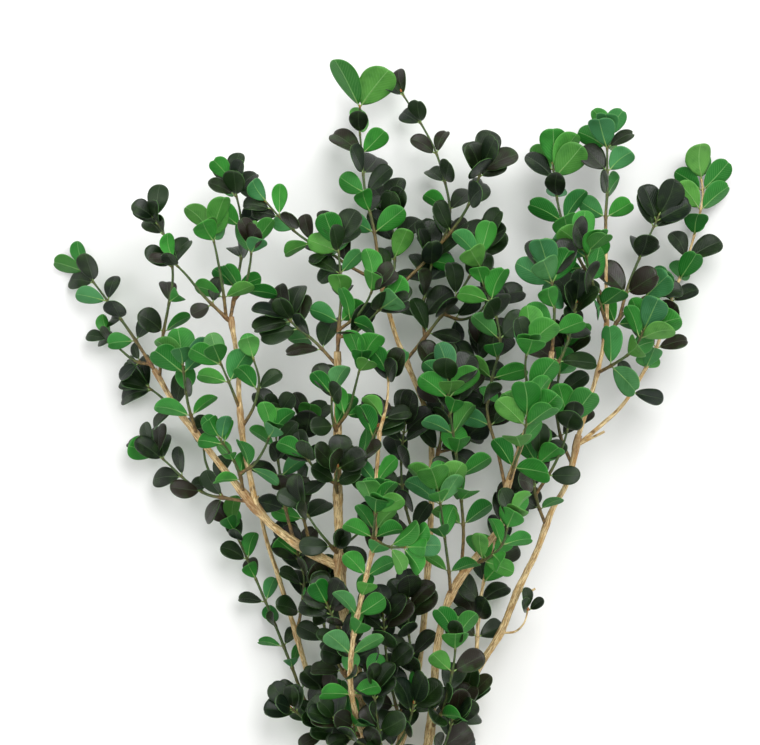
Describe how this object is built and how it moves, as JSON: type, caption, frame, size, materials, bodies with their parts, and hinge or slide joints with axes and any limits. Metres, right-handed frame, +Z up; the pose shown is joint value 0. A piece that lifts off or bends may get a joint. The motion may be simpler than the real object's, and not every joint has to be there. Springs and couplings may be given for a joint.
{
  "type": "preserved boxwood branch",
  "caption": "Cut, much-forked boxwood branch lying flat: woody stems fan out from one cut foot and carry twigs with small leathery leaves in opposite pairs.",
  "frame": {"origin": "on the surface that the branch lies on, under the middle of its bounding box", "axes": "+Y from the cut foot towards the leafy ends, +X to the right across the fan seen from above, +Z up from the surface"},
  "size_m": [0.3776, 0.48, 0.109],
  "materials": {
    "bark": "golden tan bark with fine ridges, matt; green-brown on thin twigs",
    "leaf": "leathery boxwood leaf: upper side very dark green with a soft gloss, under side bright green and matt with a pale midrib"
  },
  "bodies": {
    "root": {"main_stem": "bark", "left_stem": "bark", "left_upright_stem": "bark", "outer_left_stem": "bark", "middle_stem": "leaf", "back_stem": "bark", "centre_right_stem": "bark", "right_stem": "bark", "right_upright_stem": "bark", "left_tip_shoot": "leaf", "left_drooping_shoot": "leaf", "left_upright_shoot": "leaf", "left_front_shoot": "leaf", "left_middle_shoot": "leaf", "left_low_shoot": "leaf", "fan_left_shoot": "leaf", "fan_tall_shoot": "leaf", "fan_low_shoot": "leaf", "fan_right_shoot": "leaf", "inner_left_shoot": "leaf", "inner_low_shoot": "leaf", "outer_left_shoot": "leaf", "outer_inner_shoot": "leaf", "low_left_shoot": "leaf", "low_inner_shoot": "leaf", "foot_left_shoot": "leaf", "fork_twig": "leaf", "stem_low_shoot": "leaf", "stem_front_shoot": "leaf", "centre_left_shoot": "leaf", "stem_end_shoot": "leaf", "tallest_shoot": "leaf", "upper_left_twig": "leaf", "arching_twig": "leaf", "upper_back_shoot": "leaf", "back_right_shoot": "leaf", "back_middle_shoot": "leaf", "back_inner_shoot": "leaf", "back_low_shoot": "leaf", "foot_middle_shoot": "leaf", "foot_right_shoot": "leaf", "centre_bright_shoot": "leaf", "centre_right_twig": "leaf", "bright_end_shoot": "leaf", "bright_upper_shoot": "leaf", "bright_front_shoot": "leaf", "bright_low_shoot": "leaf", "pale_shoot": "leaf", "middle_front_shoot": "leaf", "low_right_shoot": "leaf", "inner_right_shoot": "leaf", "right_low_shoot": "leaf", "right_back_shoot": "leaf", "right_dark_shoot": "leaf", "right_top_shoot": "leaf", "right_inner_shoot": "leaf", "right_front_shoot": "leaf", "right_outer_shoot": "leaf", "right_bright_shoot": "leaf", "far_right_twig": "leaf"}
  },
  "joints": []
}
